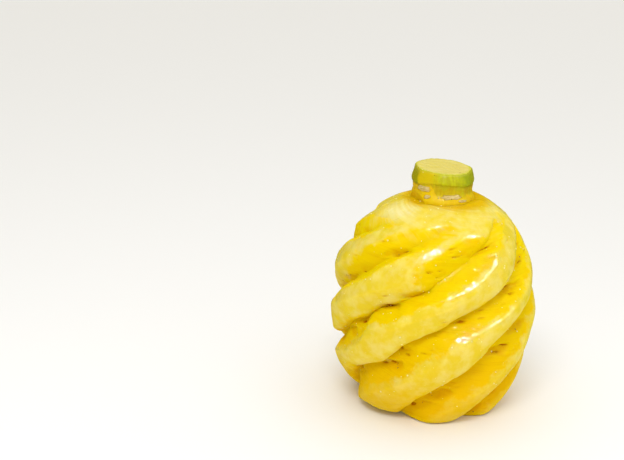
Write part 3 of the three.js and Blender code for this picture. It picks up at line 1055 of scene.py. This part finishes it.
def scar_colour(tree, at, colour):
    """Papery scars, with brown edges and dark specks."""
    paper = mixed_colour(tree, at.paper_fibre.ramp(0.35, 0.65), STALK.dark_paper, STALK.paper)
    edge = at.scar.ramp(0.08, 0.3) * at.scar.ramp(0.4, 0.7, 1, 0)
    return layered(tree, colour, (edge * 0.4, STALK.scar_edge), (at.scar.ramp(0.25, 0.6), paper),
                   (at.speck * 0.8, STALK.speck))


def face_colour(tree, at):
    """The cut face: cream and fibrous, ringed with a yellow-green line."""
    rim = (at.reach + (at.cloud - 0.5) * 1.2).ramp(11.2, 12.6)
    return layered(tree, STALK.face, (at.stroke.ramp(0.35, 0.65), STALK.stroke),
                   (at.bundle * 0.45, STALK.bundle), (at.speck, STALK.face_speck), (rim, STALK.face_rim))


def sparkle_share(tree, at):
    """Pale specks along the rim, at the front and left: a painted highlight standing in for glints."""
    spot, luck = cells(tree, at.place, SPARKLE_SPOTS)
    sparkle_edge = at.reach.ramp(8.5, 11) * (at.x * -0.5 - at.y * 0.85).ramp(4, 9) * at.knee.ramp(4.5, 6)
    return spot.ramp(0.12, 0.32, 1, 0) * luck.ramp(0.45, 0.6) * sparkle_edge * 0.8


def stalk_patterns(tree):
    """Everything that the stalk's colours and bumps follow."""
    names = ("level", "knee", "cut_face", "scar")
    at = SimpleNamespace(place=in_millimetres(tree), **{name: attribute(tree, name) for name in names})
    x, at.y, _ = split(tree, at.place)
    at.x = x - SEAT_OFFSET
    at.reach = (at.x * at.x + at.y * at.y) ** 0.5
    at.cloud = noise_field(tree, at.place, *STALK_CLOUDS)
    at.shaved = (at.x * -0.85 + at.y * -0.5 + (at.cloud - 0.5) * 5).ramp(8, 10.5)
    at.streak = noise_field(tree, stretched(tree, RIND_STREAKS, at.x, at.y, at.level), *FIBRES)
    at.paper_fibre = noise_field(tree, stretched(tree, PAPER_STREAKS, at.x, at.y, at.level), *FIBRES)
    across, down = CUT_FACE_STROKES
    at.stroke = noise_field(tree, combine(tree, at.x * across, at.y * down, 0.0), *CUT_FACE_FIBRES)
    spot, luck = cells(tree, at.place, SPECK_SPOTS)
    at.speck = spot.ramp(0.05, 0.13, 1, 0) * luck.ramp(0.55, 0.6)
    bundle_spot, bundle_luck = cells(tree, combine(tree, at.x, at.y, 0.0), BUNDLE_SPOTS)
    at.bundle = bundle_spot.ramp(0.1, 0.35, 1, 0) * bundle_luck.ramp(0.3, 0.8)
    return at


def stalk_material():
    """Lime rind over an olive waist with papery scars, a shaved golden base and a cream cut face."""
    material, tree, shader = new_material("pale_green_stalk", {
        "Specular IOR Level": 0.15, "Coat Roughness": 0.1, "Coat IOR": 1.34, "Subsurface Weight": 0.15,
        "Subsurface Radius": (1.0, 0.8, 0.2), "Subsurface Scale": 1.5 * MM,
    })
    at = stalk_patterns(tree)
    is_rind = (at.knee + (at.streak - 0.5) * 2).ramp(-1.2, 0.6)
    colour = mixed_colour(tree, is_rind, waist_colour(tree, at), rind_colour(tree, at))
    colour = scar_colour(tree, at, colour)
    # Last come pale specks at the rim, a painted highlight.
    colour = layered(tree, colour, (at.cut_face.ramp(0.4, 0.6), face_colour(tree, at)),
                     (sparkle_share(tree, at), STALK.painted_sparkle))
    tree.links.new(colour, shader.inputs["Base Color"])

    grain = noise_field(tree, at.place, *STALK_GRAIN)
    dull = at.scar.ramp(0.2, 0.6)
    surface = grain * STALK_GRAIN_HEIGHT + at.streak * STREAK_HEIGHT \
        + dull * at.paper_fibre * PAPER_HEIGHT \
        + at.cut_face * (at.stroke * STROKE_HEIGHT - at.bundle * BUNDLE_DEPTH)
    add_bump(tree, shader, surface, ("Normal", "Coat Normal"))
    tree.links.new((grain.ramp(0.3, 0.7, 0.28, 0.46) + dull * 0.3).socket, shader.inputs["Roughness"])
    tree.links.new((STALK_COAT - dull * STALK_COAT).socket, shader.inputs["Coat Weight"])
    return material


def juice_and_painted_glint_material():
    """Juice painted pale, a painted highlight standing in for glints; the beads catch the lamps' light as
    well.
    """
    # The pale base colour is a painted highlight.
    return new_material("juice", {
        "Base Color": rgb(252, 240, 150), "Roughness": 0.12, "IOR": 1.5, "Subsurface Weight": 0.6,
        "Subsurface Radius": (1.0, 0.9, 0.4), "Subsurface Scale": 1 * MM,
    })[0]


def crumb_material(name, colour):
    """A crumb of one colour, damp like the flesh that it lies on."""
    return new_material(name, {
        "Base Color": colour, "Roughness": 0.35, "Subsurface Weight": 0.3,
        "Subsurface Radius": (1.0, 0.7, 0.2), "Subsurface Scale": 0.5 * MM,
    })[0]


# ---------------------------------------------------------------- camera, lights and floor

CAMERA_ELEVATION = 19.513
CAMERA_DISTANCE = 547
CAMERA_TARGET = (1.8, 0, 56)
CAMERA_TURNED_LEFT = 6.4915
CAMERA_TURNED_UP = 2.5786
LENS = 66

# The light from all round, and how much less of it is seen, is mirrored, or comes from either side.
# Spreads say how far to the right a direction points, and heights how far up: the left's shade fades
# from the first number to the second, and the right's grows.
AMBIENT_STRENGTH = 1.09
SEEN_LOSS = 0.09
MIRRORED_LOSS = 0.4
LEFT_LOSS = 0.85
LEFT_SPREAD = (-1, -0.1)
LEFT_HEIGHTS = (0.4, 0.8)
RIGHT_LOSS = 0.35
RIGHT_SPREAD = (0.3, 1)
WHITE = (1, 1, 1, 1)
FRUIT_LIGHT = rgb(236, 206, 40)

# The lamps point at one place, and each lights the surfaces or only shows in the gloss
LAMP_AIM = (0, 0, 60)
LAMPS = {
    "window": {"place": (-60, -485, 642), "size": (300, 120), "power": 1.8, "in_gloss": False},
    "glint": {"place": (-60, -485, 642), "size": (80, 40), "power": 5, "in_gloss": True},
    "far_glint": {"place": (310, -380, 642), "size": (760, 40), "power": 7, "in_gloss": True},
}
FLOOR_REACH = 6000
FLOOR_COLOUR = (0.9, 0.9, 0.9, 1)


def camera():
    data = bpy.data.cameras.new("camera")
    data.lens = LENS
    data.clip_start = 0.01
    eye = bpy.data.objects.new("camera", data)
    tilt = rad(CAMERA_ELEVATION)
    back = Vector((0, -math.cos(tilt), math.sin(tilt)))
    eye.location = (Vector(CAMERA_TARGET) + CAMERA_DISTANCE * back) * MM
    eye.rotation_euler = (rad(90 - CAMERA_ELEVATION + CAMERA_TURNED_UP), 0, rad(CAMERA_TURNED_LEFT))
    bpy.context.scene.collection.objects.link(eye)
    bpy.context.scene.camera = eye


def softbox(name, place, size, power, in_gloss):
    data = bpy.data.lights.new(name, "AREA")
    data.shape = "RECTANGLE"
    data.size = size[0] * MM
    data.size_y = size[1] * MM
    data.energy = power
    lamp = bpy.data.objects.new(name, data)
    lamp.location = Vector(place) * MM
    lamp.visible_diffuse = not in_gloss
    lamp.visible_glossy = in_gloss
    lamp.rotation_euler = (Vector(LAMP_AIM) * MM - lamp.location).to_track_quat("-Z", "Y").to_euler()
    bpy.context.scene.collection.objects.link(lamp)


def ambient_light():
    """Even light all round, dimmer and yellower from the left, where more fruit stands."""
    world = bpy.data.worlds.new("studio")
    bpy.context.scene.world = world
    world.use_nodes = True
    tree = world.node_tree
    background = tree.nodes["Background"]
    rays = tree.nodes.new("ShaderNodeLightPath")
    seen = Field(tree, rays.outputs["Is Camera Ray"])
    mirrored = Field(tree, rays.outputs["Is Glossy Ray"])
    rightward, _, upward = split(tree, tree.nodes.new("ShaderNodeTexCoord").outputs["Generated"])
    left = rightward.ramp(*LEFT_SPREAD, 1, 0) * upward.ramp(*LEFT_HEIGHTS, 1, 0) * (1 - seen)
    right = rightward.ramp(*RIGHT_SPREAD) * (1 - seen)
    colour = mixed_colour(tree, mirrored.most(left), WHITE, FRUIT_LIGHT)
    tree.links.new(colour, background.inputs["Color"])
    strength = AMBIENT_STRENGTH - seen * SEEN_LOSS - mirrored * MIRRORED_LOSS
    strength = strength * (1 - left * LEFT_LOSS - right * RIGHT_LOSS)
    tree.links.new(strength.socket, background.inputs["Strength"])


def pale_floor():
    reach = FLOOR_REACH * MM
    corners = [(-reach, -reach, 0), (reach, -reach, 0), (reach, reach, 0), (-reach, reach, 0)]
    mesh = bpy.data.meshes.new("floor")
    mesh.from_pydata(corners, [], [(0, 1, 2, 3)])
    floor = bpy.data.objects.new("floor", mesh)
    floor.visible_glossy = False
    bpy.context.scene.collection.objects.link(floor)
    mesh.materials.append(new_material("pale_floor", {"Base Color": FLOOR_COLOUR, "Roughness": 0.8})[0])


def studio():
    bpy.context.scene.view_settings.view_transform = "Standard"
    ambient_light()
    for name, lamp in LAMPS.items():
        softbox(name, **lamp)
    pale_floor()


camera()
studio()
flesh = flesh_piece(flesh_material())
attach(flesh, "root")
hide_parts(NODE)

scattered = (("juice_beads", JUICE_BEADS, juice_and_painted_glint_material()),
             ("fibre_shreds", FIBRE_SHREDS, crumb_material("fibre", rgb(236, 206, 92))),
             ("eye_specks", EYE_SPECKS, crumb_material("brown_speck", rgb(150, 88, 10))))
for name, kind, material in scattered:
    grains = scattered_piece(name, flesh, kind, material)
    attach(grains, "root")
    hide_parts(NODE)

stalk = stalk_piece(stalk_material())
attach(stalk, "root")
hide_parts(NODE)
